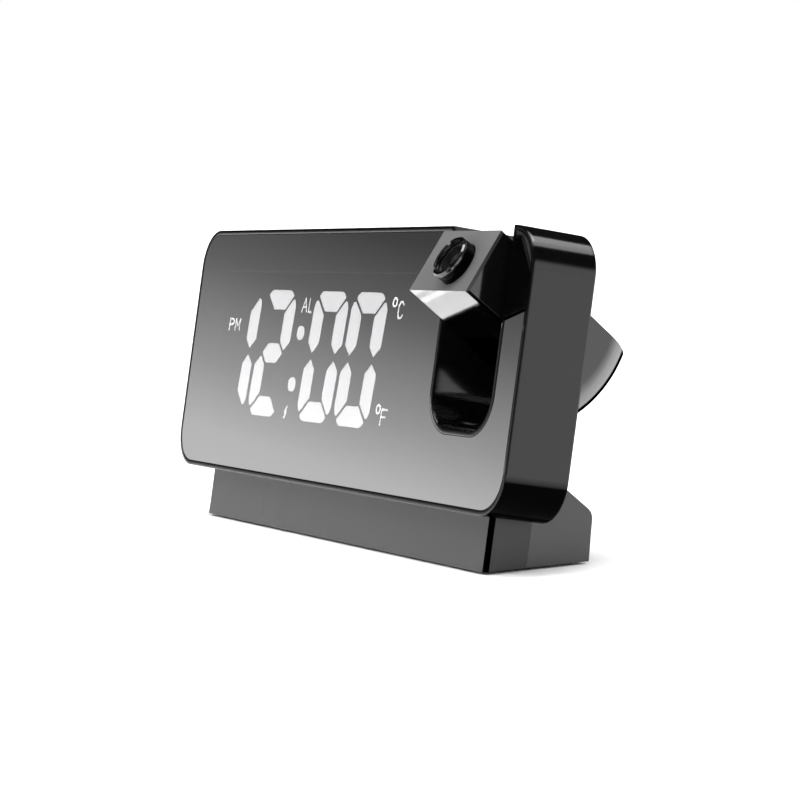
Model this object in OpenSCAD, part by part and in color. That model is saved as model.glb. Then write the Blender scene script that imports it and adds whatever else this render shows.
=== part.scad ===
// Projection alarm clock: a wide, thin clock body that leans back on a low wedge base.
// A projector arm turns in a slot that is open at the top and runs through to the back.
// X is to the right as seen from the front, Y to the back and Z up. The origin is on the
// table, below the middle of the clock as seen from above.

/* [Clock body] */
// Width of the clock body
body_w = 190; // [176:1:206]
// Height of the clock body, measured along its leaning front
body_h = 66; // [64:0.5:74]
// Thickness of the clock body from mirror to back cover
body_t = 16.2; // [15.8:0.1:19]
// Radius of the four corners of the clock body
body_r = 10; // [7:0.5:13]
// Angle that the clock body leans back
lean = 11.2; // [8:0.2:14]
// Thickness of the moulded walls
wall = 1.8; // [1.4:0.1:2.1]
// Thickness of the back cover
cover_t = 1.8; // [1.5:0.1:2.1]
// Width of the rim around the mirror panel
rim_w = 1.2; // [0.9:0.1:1.7]
// Thickness of the mirror panel
panel_t = 1.5; // [1.2:0.1:1.8]
// Thickness of the ledge that the mirror panel is glued to
ledge_t = 1.5; // [1.2:0.1:1.8]
// Gap between a part and the recess that it is set in
fit_gap = 0.15; // [0.1:0.01:0.2]

/* [Projector slot] */
// Distance from the middle of the slot to the right side of the body
slot_side = 25.5; // [24.9:0.1:30]
// Width of the slot
slot_w = 28.8; // [28:0.1:29.6]
// Radius of the slot's two lower corners
slot_r = 8.8; // [6:0.2:10]
// Height of the slot's floor above the underside of the body
slot_floor = 18.5; // [14:0.5:20]
// Width of the rim around the slot
slot_rim = 1.2; // [0.9:0.1:1.5]
// Thickness of the slot's walls
slot_wall = 1.6; // [1.3:0.1:1.9]

/* [Projector arm] */
// Angle that the arm is turned forward from upright, as it stands here
arm_swing = 60; // [40:1:75]
// Distance from the pivot down from the top of the body
pivot_drop = 17; // [16:0.2:18]
// Distance from the pivot to the lens face
nose_len = 16.5; // [16:0.1:18]
// Distance from the pivot to the arm's front
nose_front = 8.65; // [8.45:0.05:9]
// Distance from the pivot to the arm's back, at the lens face
nose_back = 7.75; // [7.6:0.05:8.2]
// Distance from the pivot to the front of the arm's round heel
heel_front = 11; // [9:0.1:13]
// Distance from the pivot to the back of the arm's round heel
heel_back = 6.8; // [6.5:0.1:8]
// Radius of the edges around the heel
heel_edge_r = 8.5; // [5:0.5:9]
// Angle that the lens face is cut forward from square
nose_rake = 4.8; // [0:0.2:5.4]
// Clearance between the arm's heel and the slot's floor
heel_gap = 0.7; // [0.5:0.1:3]
// Clearance between the arm's sides and the slot's walls
arm_gap = 0.55; // [0.4:0.05:0.7]
// Thickness of the arm's walls
arm_wall = 1.6; // [1.3:0.1:1.8]
// Thickness of the mirror plate and the lens plate on the arm
plate_t = 0.8; // [0.7:0.1:1]
// How far the mirror plate reaches below the pivot
plate_drop = 2; // [0:0.5:6]
// Radius of the arm's pivots
pivot_r = 3.5; // [3.1:0.1:3.7]
// Radius of the wire passage through the left pivot
wire_r = 2; // [1.5:0.1:2.3]

/* [Projector lens] */
// Outer radius of the focus ring
ring_r = 5.4; // [5.2:0.05:5.6]
// How far the focus ring stands out from the lens face
ring_h = 3.4; // [2.6:0.1:4]
// Inner radius of the focus ring
ring_bore = 4.3; // [4.1:0.05:4.4]
// Distance of the lens axis to the right of the arm's middle
lens_dx = 3.1; // [0:0.1:3.2]
// Distance of the lens axis behind the arm's middle
lens_dy = -1.4; // [-1.5:0.05:-0.8]
// How far the lens cell stands back in the focus ring
cell_set = 1.2; // [1:0.1:1.6]
// Length of the lens cell
cell_len = 9; // [8:0.1:9.5]

/* [Display] */
// Height of the digits, as a share of the display block's height
digit_h_share = 0.788; // [0.7:0.004:0.82]
// Width of one digit, as a share of the display block's width
digit_w_share = 0.1735; // [0.16:0.0005:0.178]
// Distance from one digit to the next, as a share of the display block's width
pitch_share = 0.1897; // [0.188:0.0001:0.193]
// Extra distance between hours and minutes, as a share of the display block's width
colon_share = 0.082; // [0.066:0.001:0.085]
// Angle that the digits slant to the right
digit_slant = 5.5; // [0:0.5:8]
// Distance of the digits' middle to the left of the display's middle
digit_side = 7.1; // [5:0.1:8]
// Width of the colon's dots
dot_w = 4.7; // [4:0.1:5]
// Height of the colon's dots
dot_h = 3.7; // [3:0.1:4]
// Thickness of the display block
display_t = 7; // [6:0.1:7.2]

/* [Wedge base] */
// Distance from the side of the base to the side of the body
base_side = 14; // [10:0.5:20]
// Depth of the base where it meets the table
base_d = 27.5; // [26.5:0.5:32]
// Height of the body's lower front edge above the table
base_h = 14.2; // [13.6:0.2:18]
// Distance of the base's front behind the front of the body
base_inset = 5.6; // [4:0.2:6]
// Angle that the base's rear wall leans back
rear_lean = 8; // [5:0.5:12]
// Height of the base's rear wall
rear_h = 11.2; // [10:0.2:13]
// Height up the back cover where the base's rear slope ends
slope_u = 13; // [11:0.5:15]
// Radius of the base's rear edge
rear_r = 3; // [2:0.2:4]
// Radius of the base's upright edges
base_edge_r = 1.2; // [0.8:0.1:1.6]
// How far the rubber feet stand out below the base
foot_proud = 0.6; // [0.4:0.05:0.8]
// Thickness of the base plate
plate_h = 2.2; // [2:0.1:2.6]

/* [Buttons and battery] */
// Radius of the buttons on the back
button_r = 3.4; // [3:0.1:3.8]
// How far a button stands out from the back
button_proud = 1.2; // [1:0.1:1.6]
// Travel of a button
button_travel = 0.7; // [0.5:0.05:0.8]
// Distance from one button to the next
button_pitch = 11.5; // [11:0.1:12]
// Distance of the memory cell's edge inside the base plate's front and rear edges
cell_side = 1.556; // [1.3:0.004:1.8]
// Thickness of the memory cell
cell_t = 3.2; // [2.5:0.1:3.2]

/* [Hidden] */

$fn = 64;
// Gaps and fits
over = 1;
run_gap = 0.06;
move_gap = 0.3;
touch_gap = 0.1;
screw_gap = 0.04;

// Y of the body's lower front edge, which puts the origin below the middle of the clock
body_y = -21.4;

// Places in the body's own frame: X, then depth from the mirror, then height along the lean
slot_x = body_w / 2 - slot_side;
pivot_n = body_t / 2;
pivot_u = body_h - pivot_drop;
ledge_n = panel_t + ledge_t;
cover_n = body_t - cover_t;
inner_x = body_w / 2 - wall;

// Arm
arm_w = slot_w - 2 * arm_gap;
heel_r = pivot_u - slot_floor - heel_gap;
plate_y = plate_t - nose_front;
// Corner where the mirror plate and the lens plate meet in a mitre, on the outside and inside
mitre_out = [-nose_front, face_z(-nose_front)];
mitre_in = [plate_y, face_z(plate_y) - plate_t / cos(nose_rake)];
mitre_far = 4 * mitre_out - 3 * mitre_in;

// Projector optics, measured along the lens axis from the lens face
ring_flange_w = 0.7;
ring_flange_r = ring_r + ring_flange_w;
ring_flange_t = 1;
flange_z = -plate_t - touch_gap;
ring_edge = (ring_r - ring_bore) / 3;
ring_notch = ring_r / 4;
cell_r_out = ring_bore - run_gap;
cell_wall = 0.7;
cell_front = ring_h - cell_set;
lens_r = cell_r_out - cell_wall - run_gap;
lens_curve_r = 6;
lens_t = 2.2;
lens_back = 0.6;
sleeve_flange = [15.4, 12.6, 3];
sleeve_wall = 0.9;
sleeve_bore = ring_bore + move_gap;
sleeve_r = sleeve_bore + sleeve_wall;
sleeve_len = 13.2;
sleeve_end = -plate_t - sleeve_len;
board_t = 1.2;
arm_board = [13, 10];
led_size = [3.5, 3.5, 0.7];
condenser_r = sleeve_bore - 2 * touch_gap;
condenser_t = 1.8;
condenser_curve_r = 7;
condenser_gap = 1.3;
condenser_z = sleeve_end + led_size[2] + condenser_gap;
lcd_size = [6, 6, 1];
lcd_gap = 0.5;
lcd_z = condenser_z + condenser_t + lcd_gap;

// Pivots
pivot_flange_w = 1.3;
pivot_flange_t = 1;
groove_depth = 0.6;
clip_w = 1.2;
clip_t = 0.8;
washer_t = 0.5;
pivot_end = 0.8;
pivot_reach = arm_gap + slot_wall + washer_t + clip_t + pivot_end + 3 * touch_gap;

// Screws and their posts
screw_r = 1.1;
screw_len = 8;
head_r = 2.2;
head_t = 1;
post_r = 2.8;
post_inset = 6;
post_x = inner_x - post_r;
post_mid_x = slot_x - slot_w / 2 - slot_wall - post_r - touch_gap;
post_low_u = wall + post_inset;
post_top_u = body_h - wall - post_inset;

// Display between the posts, with outlines in shares of half a digit's width and height
board_side_gap = 5.2;
board_low_gap = 5.7;
board_edge = 4;
display_n = panel_t + touch_gap;
display_x = (post_mid_x - post_x) / 2;
display_w = post_mid_x + post_x - 2 * (post_r + board_side_gap + board_edge);
display_h = body_h - 2 * (wall + board_low_gap + board_edge);
digit_u = body_h / 2;
digits_x = display_x - digit_side;
digit_h = digit_h_share * display_h;
digit_w = digit_w_share * display_w;
digit_pitch = pitch_share * display_w;
colon_space = colon_share * display_w;
pocket_t = 2.6;
display_post_r = 2.6;
dot_share = [0.342, -0.46];
bar_share = [[-0.78, 0.914], [-0.7, 0.965], [-0.58, 1], [0.54, 1], [0.68, 0.965], [0.78, 0.914],
    [0.36, 0.69], [-0.33, 0.69]];
stroke_share = [[0.36, 0.635], [0.8, 0.858], [0.91, 0.845], [1, 0.745], [1, 0.2], [0.67, 0.05],
    [0.37, 0.2]];
middle_share = [[-0.61, 0], [-0.31, 0.155], [0.33, 0.155], [0.63, 0], [0.32, -0.155], [-0.32, -0.155]];

// Boards and buttons behind the display
main_gap = 0.7;
main_n = display_n + display_t + board_t + main_gap;
main_w_share = 0.82;
main_size = [main_w_share * display_w, 22];
main_inset = 4.2;
main_shift = 0.5;
main_x = display_x + main_shift;
main_u = body_h - wall - main_inset - main_size[1] / 2;
flange_t = 0.8;
flange_w = 1.4;
bevel_share = 0.4;
switch_r = 2;
button_u = main_u;
button_count = 6;

// Vents, sounder and sensor in the back cover
vent_w = 1.6;
vent_h = 12;
vent_pitch = 3.2;
vent_count = 6;
vent_side = 36.6;
vent_x = post_mid_x - vent_side;
vent_u = slope_u + 3 * vent_w;
buzzer_r = 7;
buzzer_t = 2.2;
buzzer_side = 35;
buzzer_x = buzzer_side - body_w / 2;
buzzer_u = slope_u + buzzer_r + vent_w;
sound_hole_r = 0.8;
sound_ring_r = 3.5;
sensor_size = [4, 1.6, 6];

// Base
base_w = body_w - 2 * base_side;
base_front_y = body_y + base_inset * cos(lean) - (base_h - foot_proud - base_inset * sin(lean)) * tan(lean);
base_rear_y = base_front_y + base_d;
plate_z = foot_proud + plate_h;
plate_y0 = base_front_y + (plate_h * sin(lean) + wall) / cos(lean) + fit_gap;
plate_y1 = base_rear_y - wall / cos(rear_lean) - fit_gap;
foot_size = [22, 4.4];
foot_sink = 0.8;
foot_inset = 3.6;
foot_x = base_w / 2 - wall - foot_inset - foot_size[0] / 2;
foot_rows = [plate_y0 + foot_inset, plate_y1 - foot_inset];
base_post_x = foot_x - foot_size[0] / 2 - foot_size[1] / 4 - head_r;
base_post_y = [plate_y0 + post_r, plate_y1 - post_r];
wire_side = 7;
wire_hole_x = wire_side - base_w / 2;

// Screws and bosses that join the body to the base, beside the base's posts
boss_out = 7.7;
boss_in = 7.3;
boss_h = 5.6;
body_screw_x = [-base_post_x - boss_out, 0, base_post_x - boss_in];
body_screw_n = (cover_n + base_inset + wall) / 2;

// Power inlet
jack_size = [9, 9, 8.4];
jack_gap = 2.4;
jack_x = -base_post_x - post_r - jack_gap - jack_size[0] / 2;
jack_z = plate_z + jack_size[2] / 2;
jack_r = 3.6;
jack_bore_r = 2.75;
jack_pin_r = 0.65;
jack_depth = 7.5;

// Memory cell and its door
bay_y = (plate_y0 + plate_y1) / 2;
cell_r = (plate_y1 - plate_y0) / 2 - cell_side;
door_edge = 0.8;
door_r = cell_r + door_edge;
door_t = 1.5;
door_z = foot_proud + touch_gap;
lug_l = 1.8;
lug_r = door_r + lug_l;
lug_t = 0.7;
lug_w = 5;
lug_z = door_z + door_t - lug_t;
lug_turn = 50;
coin_slot = [11, 1.6, 0.7];
cell_z = door_z + door_t + touch_gap;
bay_wall = 1.4;
bay_gap = 3.5;
bay_x = base_post_x - post_r - bay_gap - bay_wall - lug_r;
bay_top = cell_z + cell_t + touch_gap;
contact_t = 0.4;
contact_w = 4;

// Unit vector
function unit(v) = v / norm(v);
// Y and Z of a point of the body's frame
function body_point(n, u) = [body_y + n * cos(lean) + u * sin(lean), base_h + u * cos(lean) - n * sin(lean)];
// A display outline's points, slanted and set at x
function slanted(points, x) = [for (p = points) [
    x + p[0] * digit_w / 2 + p[1] * digit_h / 2 * tan(digit_slant), digit_u + p[1] * digit_h / 2]];
function flipped(points, fx, fy) = [for (p = points) [p[0] * fx, p[1] * fy]];
// Middle of digit i, with the colon between the second and the third
function digit_x(i) = digits_x + (i - 1.5) * digit_pitch + (i < 2 ? -1 : 1) * colon_space / 2;
function button_x(i) = main_x + (i - (button_count - 1) / 2) * button_pitch;
// Height of the arm's lens face above the pivot, at depth y
function face_z(y) = nose_len + y * tan(nose_rake);

module body_frame() {
    translate([0, body_y, base_h]) rotate([-lean, 0, 0]) children();
}

// A flat outline of the front, made solid from depth n0 to n1
module through(n0, n1) {
    body_frame() translate([0, n1, 0]) rotate([90, 0, 0]) linear_extrude(n1 - n0) children();
}

module arm_frame() {
    body_frame() translate([slot_x, pivot_n, pivot_u]) rotate([arm_swing, 0, 0]) children();
}

module optics_frame() {
    arm_frame() translate([lens_dx, lens_dy, face_z(lens_dy)])
        rotate([nose_rake, 0, 0]) children();
}

// Rectangle with round corners, standing on the axis
module rounded(w, h, r) {
    translate([-w / 2 + r, 0]) square([w - 2 * r, h]);
    translate([-w / 2, r]) square([w, h - 2 * r]);
    for (x = [-1, 1], y = [r, h - r]) translate([x * (w / 2 - r), y]) circle(r);
}

// Convex outline whose corners have the radii in rs
module round_poly(points, rs) {
    n = len(points);
    polygon([for (i = [0 : n - 1]) let (
        p = points[i],
        a = unit(points[(i + n - 1) % n] - p),
        b = unit(points[(i + 1) % n] - p),
        t = rs[i] / tan(acos(a * b) / 2)
    ) each (rs[i] > 0 ? [p + a * t, p + b * t] : [p])]);
    for (i = [0 : n - 1]) if (rs[i] > 0) {
        p = points[i];
        a = unit(points[(i + n - 1) % n] - p);
        b = unit(points[(i + 1) % n] - p);
        translate(p + unit(a + b) * rs[i] / sin(acos(a * b) / 2)) circle(rs[i]);
    }
}

// The body's outline, drawn in by g all round
module body_outline(g) {
    translate([0, g]) rounded(body_w - 2 * g, body_h - 2 * g, body_r - g);
}

// The slot's outline, grown by g, running out past the top
module slot_outline(g) {
    translate([slot_x - slot_w / 2 - g, slot_floor + slot_r])
        square([slot_w + 2 * g, body_h - slot_floor]);
    translate([slot_x - slot_w / 2 + slot_r, slot_floor - g]) square([slot_w - 2 * slot_r, 2 * slot_r]);
    for (s = [-1, 1]) translate([slot_x + s * (slot_w / 2 - slot_r), slot_floor + slot_r]) circle(slot_r + g);
}

module panel_outline(g) {
    difference() {
        body_outline(rim_w + g);
        slot_outline(slot_rim + g);
    }
}

// Inside of the body around the slot's walls
module cavity_outline(g) {
    difference() {
        body_outline(wall + g);
        slot_outline(slot_wall + g);
    }
}

// Places of the screws that hold the back cover
module at_cover_screws() {
    for (x = [-post_x, post_mid_x, post_x], u = [post_low_u, post_top_u]) translate([x, u]) children();
}

module at_display_corners() {
    for (x = [-1, 1], u = [-1, 1]) translate([display_x + x * (display_w / 2 + board_edge / 2),
        digit_u + u * (display_h / 2 + board_edge / 2)]) children();
}

module front_housing() color("#101010") {
    difference() {
        union() {
            difference() {
                through(0, body_t) body_outline(0);
                through(-over, panel_t) panel_outline(0);
                through(ledge_n, body_t + over) cavity_outline(0);
                through(0, body_t) translate([display_x, digit_u])
                    square([display_w + 2 * fit_gap, display_h + 2 * fit_gap], center = true);
            }
            through(ledge_n, cover_n) intersection() {
                at_cover_screws() circle(post_r);
                body_outline(0);
            }
            through(ledge_n, display_n + display_t) at_display_corners() circle(display_post_r);
            for (x = body_screw_x) body_frame() translate([x, body_screw_n, wall / 2])
                cylinder(h = boss_h + wall / 2, r = post_r);
        }
        through(-over, body_t + over) slot_outline(0);
        through(cover_n - screw_len, cover_n + over) at_cover_screws() circle(screw_r + screw_gap);
        for (x = body_screw_x) body_frame() translate([x, body_screw_n, -over])
            cylinder(h = boss_h + wall, r = screw_r + screw_gap);
        body_frame() translate([wire_hole_x, body_screw_n, -over])
            cylinder(h = wall + 2 * over, r = wire_r);
        body_frame() translate([slot_x, pivot_n, pivot_u]) rotate([0, 90, 0])
            cylinder(h = slot_w + 2 * slot_wall + 2 * over, r = pivot_r + run_gap, center = true);
    }
}

module mirror_panel() color("#707070") through(0, panel_t) panel_outline(fit_gap);

module back_cover() color("#161616") {
    difference() {
        through(cover_n, body_t) cavity_outline(fit_gap);
        through(cover_n - over, body_t + over) at_cover_screws() circle(screw_r + screw_gap);
        through(body_t - head_t - touch_gap, body_t + over) at_cover_screws() circle(head_r + fit_gap);
        for (i = [0 : button_count - 1]) through(cover_n - over, body_t + over)
            translate([button_x(i), button_u]) circle(button_r + move_gap);
        through(cover_n - over, body_t + over) for (i = [0 : vent_count - 1])
            translate([vent_x + i * vent_pitch, vent_u]) square([vent_w, vent_h]);
        through(cover_n - over, body_t + over) translate([buzzer_x, buzzer_u]) {
            circle(sound_hole_r);
            for (a = [0 : 60 : 300]) rotate(a) translate([sound_ring_r, 0]) circle(sound_hole_r);
        }
    }
    through(main_n + board_t, cover_n) at_main_posts() circle(post_r / 2);
}

module at_main_posts() {
    for (x = [-1, 1], u = [-1, 1]) translate([main_x + x * (main_size[0] / 2 - post_r),
        main_u + u * (main_size[1] / 2 - post_r)]) children();
}

module display_block() color("#202020") difference() {
    through(display_n, display_n + display_t) translate([display_x, digit_u])
        square([display_w, display_h], center = true);
    through(display_n - over, display_n + pocket_t) {
        lit_outlines();
        dark_outlines();
    }
}

// The segments in their usual order: a on top, then clockwise, and g in the middle
module segment(x, name) {
    polygon(slanted(
        name == "a" ? bar_share : name == "d" ? flipped(bar_share, 1, -1)
        : name == "b" ? stroke_share : name == "c" ? flipped(stroke_share, 1, -1)
        : name == "e" ? flipped(stroke_share, -1, -1) : name == "f" ? flipped(stroke_share, -1, 1)
        : middle_share, x));
}

// The colon's dots are short bars with round ends
module dot(share) {
    translate(slanted([[0, share]], digits_x)[0]) {
        square([dot_w - dot_h, dot_h], center = true);
        for (s = [-1, 1]) translate([s * (dot_w - dot_h) / 2, 0]) circle(dot_h / 2);
    }
}

module lit_outlines() {
    for (name = ["b", "c"]) segment(digit_x(0), name);
    for (name = ["a", "b", "g", "e", "d"]) segment(digit_x(1), name);
    for (i = [2, 3], name = ["a", "b", "c", "d", "e", "f"]) segment(digit_x(i), name);
    for (share = dot_share) dot(share);
}

module dark_outlines() {
    for (name = ["a", "d", "e", "f", "g"]) segment(digit_x(0), name);
    for (name = ["c", "f"]) segment(digit_x(1), name);
    for (i = [2, 3]) segment(digit_x(i), "g");
}

module lit_segments() color("#f4f4f4") through(display_n, display_n + pocket_t) lit_outlines();

module dark_segments() color("#505050") through(display_n, display_n + pocket_t) dark_outlines();

module display_board() color("#1f4a2a") through(display_n + display_t, display_n + display_t + board_t)
    translate([display_x, digit_u])
        square([display_w + 2 * board_edge, display_h + 2 * board_edge], center = true);

module main_board() color("#1f4a2a") through(main_n, main_n + board_t)
    translate([main_x, main_u]) square(main_size, center = true);

// Low domes that the buttons press
module dome_switches() color("silver") for (i = [0 : button_count - 1])
    through(main_n + board_t, cover_n - touch_gap - flange_t - button_travel - touch_gap)
        translate([button_x(i), button_u]) circle(switch_r);

// A round button with a wide flange inside the cover and a bevelled cap
module button(i) color("#1a1a1a") body_frame()
    translate([button_x(i), cover_n - touch_gap, button_u]) rotate([-90, 0, 0]) rotate_extrude()
        polygon([[0, -flange_t], [button_r + flange_w, -flange_t], [button_r + flange_w, 0], [button_r, 0],
            [button_r, cover_t + touch_gap + button_proud * (1 - bevel_share)],
            [button_r - button_proud * bevel_share, cover_t + touch_gap + button_proud],
            [0, cover_t + touch_gap + button_proud]]);

module button_mode() button(0);
module button_up() button(1);
module button_down() button(2);
module button_alarm() button(3);
module button_snooze() button(4);
module button_projector() button(5);

// Sounder behind the ring of sound holes
module buzzer() color("#181818") difference() {
    through(cover_n - buzzer_t, cover_n) translate([buzzer_x, buzzer_u]) circle(buzzer_r);
    through(cover_n - buzzer_t / 2, cover_n + over) translate([buzzer_x, buzzer_u])
        circle(sound_ring_r + 2 * sound_hole_r);
}

module temperature_sensor() color("#303030") body_frame()
    translate([vent_x + vent_count * vent_pitch, cover_n - sensor_size[1], vent_u]) cube(sensor_size);

module cover_screws() color("#b0b0b0") at_depth_screws();

module at_depth_screws() {
    through(body_t - head_t - screw_len, body_t - head_t) at_cover_screws() circle(screw_r);
    through(body_t - head_t - touch_gap, body_t - touch_gap) at_cover_screws() circle(head_r);
}

// Screws that hold the body down on the base
module body_screws() color("#b0b0b0") for (x = body_screw_x) body_frame() translate([x, body_screw_n, 0]) {
    translate([0, 0, -wall - head_t]) cylinder(h = head_t, r = head_r);
    translate([0, 0, -wall - head_t / 2]) cylinder(h = boss_h + wall, r = screw_r);
}

// The front half of the base, which leans as the body does, with its walls drawn in by g
module base_front_form(g) {
    body_frame() translate([0, 0, -base_h - body_t - g]) linear_extrude(base_h + body_t) {
        translate([-base_w / 2 + base_edge_r, base_inset + g])
            square([base_w - 2 * base_edge_r, body_t - base_inset - g]);
        translate([-base_w / 2 + g, base_inset + base_edge_r + g])
            square([base_w - 2 * g, body_t - base_inset - base_edge_r - g]);
        for (x = [-1, 1]) translate([x * (base_w / 2 - base_edge_r - g), base_inset + base_edge_r + g])
            circle(base_edge_r);
    }
}

// Everything below the base's underside
module below_base() {
    translate([-base_w / 2 - over, base_front_y - base_h, -base_h - body_t])
        cube([base_w + 2 * over, base_d + 2 * base_h, base_h + body_t + foot_proud]);
}

// A post for base screws, reaching up into the base's roof
module base_post(side) {
    for (x = [-1, 1]) translate([x * base_post_x, base_post_y[side], plate_z])
        cylinder(h = 2 * base_h, r = post_r);
}

module base_screw_holes(side) {
    for (x = [-1, 1]) translate([x * base_post_x, base_post_y[side], 0])
        cylinder(h = plate_z + screw_len / 2, r = screw_r + screw_gap);
}

module base_front() color("#1c1c1c") difference() {
    union() {
        difference() {
            base_front_form(0);
            base_front_form(wall);
        }
        intersection() {
            base_front_form(0);
            base_post(0);
        }
    }
    below_base();
    base_screw_holes(0);
    for (x = body_screw_x) body_frame() translate([x, body_screw_n, -wall - over])
        cylinder(h = wall + 2 * over, r = screw_r + screw_gap);
    body_frame() translate([wire_hole_x, body_screw_n, -wall - over])
        cylinder(h = wall + 2 * over, r = wire_r);
}

// Side outline of the base's rear half, in Y and Z, with its outer walls drawn in by g
module rear_outline(g) {
    low = foot_proud - g;
    foot = [base_rear_y - g / cos(rear_lean) - g * tan(rear_lean), low];
    top = [base_rear_y - g / cos(rear_lean) + rear_h * tan(rear_lean), foot_proud + rear_h];
    seam = [body_y + (body_t - (base_h - low) * sin(lean)) / cos(lean), low];
    slope = atan2((body_point(body_t, slope_u) - top)[1], (top - body_point(body_t, slope_u))[0]);
    round_poly([seam, foot, top - [0, g / cos(slope) - g * tan(slope)],
        body_point(body_t, slope_u - g / cos(slope + lean))], [0, 0, rear_r, 0]);
}

module rear_form(g) {
    translate([-base_w / 2 + g, 0, 0]) rotate([90, 0, 90]) linear_extrude(base_w - 2 * g) rear_outline(g);
}

module base_rear() color("#2a2a2a") difference() {
    union() {
        difference() {
            rear_form(0);
            rear_form(wall);
        }
        intersection() {
            rear_form(0);
            base_post(1);
        }
    }
    base_screw_holes(1);
    translate([jack_x, bay_y, jack_z]) rotate([-90, 0, 0]) cylinder(h = base_d, r = jack_r + fit_gap);
}

module base_plate() color("#141414") difference() {
    intersection() {
        translate([-base_w / 2 + wall + fit_gap, plate_y0, foot_proud])
            cube([base_w - 2 * wall - 2 * fit_gap, plate_y1 - plate_y0, base_h]);
        union() {
            translate([-base_w / 2, plate_y0, 0]) cube([base_w, base_d, plate_z]);
            // Ring around the memory cell, cut back from the leaning front wall
            intersection() {
                translate([bay_x, bay_y, 0]) cylinder(h = bay_top, r = lug_r + bay_wall);
                translate([0, plate_y0 + (bay_top - plate_z) * tan(lean), 0])
                    cube([base_w / 2, base_d, base_h]);
            }
        }
    }
    translate([bay_x, bay_y, 0]) {
        cylinder(h = base_h, r = door_r + fit_gap);
        // Track that the door's lugs turn in, and the two places where they go in
        translate([0, 0, lug_z - move_gap]) cylinder(h = lug_t + 2 * move_gap, r = lug_r + move_gap);
        rotate(lug_turn) translate([-lug_r - move_gap, -lug_w / 2 - move_gap, 0])
            cube([2 * (lug_r + move_gap), lug_w + 2 * move_gap, lug_z]);
    }
    for (x = [-1, 1], y = foot_rows) translate([x * foot_x, y, foot_sink / 2]) cube([
        foot_size[0] + 2 * fit_gap, foot_size[1] + 2 * fit_gap, 2 * foot_proud + foot_sink], center = true);
    for (side = [0, 1]) {
        base_screw_holes(side);
        for (x = [-1, 1]) translate([x * base_post_x, base_post_y[side], 0])
            cylinder(h = foot_proud + head_t + touch_gap, r = head_r + fit_gap);
    }
}

module base_screws() color("#b0b0b0") for (x = [-1, 1], y = base_post_y)
    translate([x * base_post_x, y, foot_proud + touch_gap]) {
        cylinder(h = head_t, r = head_r);
        cylinder(h = plate_h + screw_len / 2 - 2 * touch_gap, r = screw_r);
    }

module rubber_feet() color("#0c0c0c") for (x = [-1, 1], y = foot_rows)
    translate([x * foot_x, y, (foot_proud + foot_sink) / 2])
        cube([foot_size[0], foot_size[1], foot_proud + foot_sink], center = true);

// Low-voltage inlet: a block that stands on the base plate, with a round nose, a socket and a pin
module power_jack() color("#0e0e0e") translate([jack_x, jack_wall_y(), jack_z]) {
    nose = wall - (jack_r + fit_gap) * tan(rear_lean);
    difference() {
        union() {
            translate([-jack_size[0] / 2, -jack_size[1] - jack_slant(), -jack_size[2] / 2]) cube(jack_size);
            jack_round(-jack_size[1] / 2, nose, jack_r);
        }
        jack_round(nose - jack_depth, nose + over, jack_bore_r);
    }
    jack_round(nose - jack_depth - over, nose - over, jack_pin_r);
}

// A round stretch of the inlet, from y0 to y1
module jack_round(y0, y1, r) {
    translate([0, y0, 0]) rotate([-90, 0, 0]) cylinder(h = y1 - y0, r = r);
}

// Y of the rear wall's inner face at the inlet's height, and how far it slants under the block
function jack_wall_y() = base_rear_y + (jack_z - foot_proud) * tan(rear_lean) - wall / cos(rear_lean);
function jack_slant() = jack_size[2] / 2 * tan(rear_lean);

module memory_cell() color("#c8c8c8") translate([bay_x, bay_y, cell_z]) cylinder(h = cell_t, r = cell_r);

// A leaf on top of the cell and a leaf down its side
module cell_contacts() color("#c9b46a") translate([bay_x, bay_y, 0]) {
    translate([-lug_r, -contact_w / 2, bay_top]) cube([2 * lug_r, contact_w, contact_t]);
    translate([cell_r + touch_gap, -contact_w / 2, cell_z + cell_t / 2])
        cube([door_edge - fit_gap, contact_w, cell_t / 2]);
}

// Round bayonet door with a coin slot
module battery_door() color("#181818") translate([bay_x, bay_y, door_z]) difference() {
    union() {
        cylinder(h = door_t, r = door_r);
        intersection() {
            translate([0, 0, door_t - lug_t]) cylinder(h = lug_t, r = lug_r);
            translate([-lug_r, -lug_w / 2, 0]) cube([2 * lug_r, lug_w, door_t]);
        }
    }
    translate([-coin_slot[0] / 2, -coin_slot[1] / 2, -over]) cube(coin_slot + [0, 0, over]);
}

// Spring washers that hold the arm where it is put
module friction_washers() color("#b8b8b8") for (side = [-1, 1]) arm_frame() rotate([0, side * 90, 0])
    translate([0, 0, slot_w / 2 + slot_wall + touch_gap]) difference() {
        cylinder(h = washer_t, r = pivot_r + clip_w);
        translate([0, 0, -over]) cylinder(h = washer_t + 2 * over, r = pivot_r + touch_gap);
    }

module across(w) {
    rotate([90, 0, 90]) translate([0, 0, -w / 2]) linear_extrude(w) children();
}

// A wide disc with round edges, which gives the heel its sweep about the pivot, and a
// straight block above it for the lens end
module heel_lathe(g) {
    r = heel_r - g;
    w = arm_w - 2 * g;
    e = heel_edge_r - g;
    rotate([0, 90, 0]) rotate_extrude() {
        translate([0, -w / 2]) square([r - e, w]);
        translate([0, -w / 2 + e]) square([r, w - 2 * e]);
        for (s = [-1, 1]) translate([r - e, s * (w / 2 - e)]) circle(e);
    }
    translate([-w / 2, -nose_front - over, 0]) cube([w, nose_front + nose_back + 2 * over, 2 * nose_len]);
}

// The arm from the side, in Y and Z about the pivot with the lens end up
module arm_form() {
    intersection() {
        across(arm_w + over) polygon([mitre_out, [nose_back, face_z(nose_back)], [heel_back, -heel_r],
            [-heel_front, -heel_r], [-nose_front, -plate_drop]]);
        heel_lathe(0);
    }
}

// The layer that the mirror plate takes on the arm's front
module front_layer() {
    across(arm_w + 2 * over) polygon([mitre_far, mitre_in, [plate_y, -plate_drop],
        [-2 * nose_front, -plate_drop]]);
}

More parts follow.
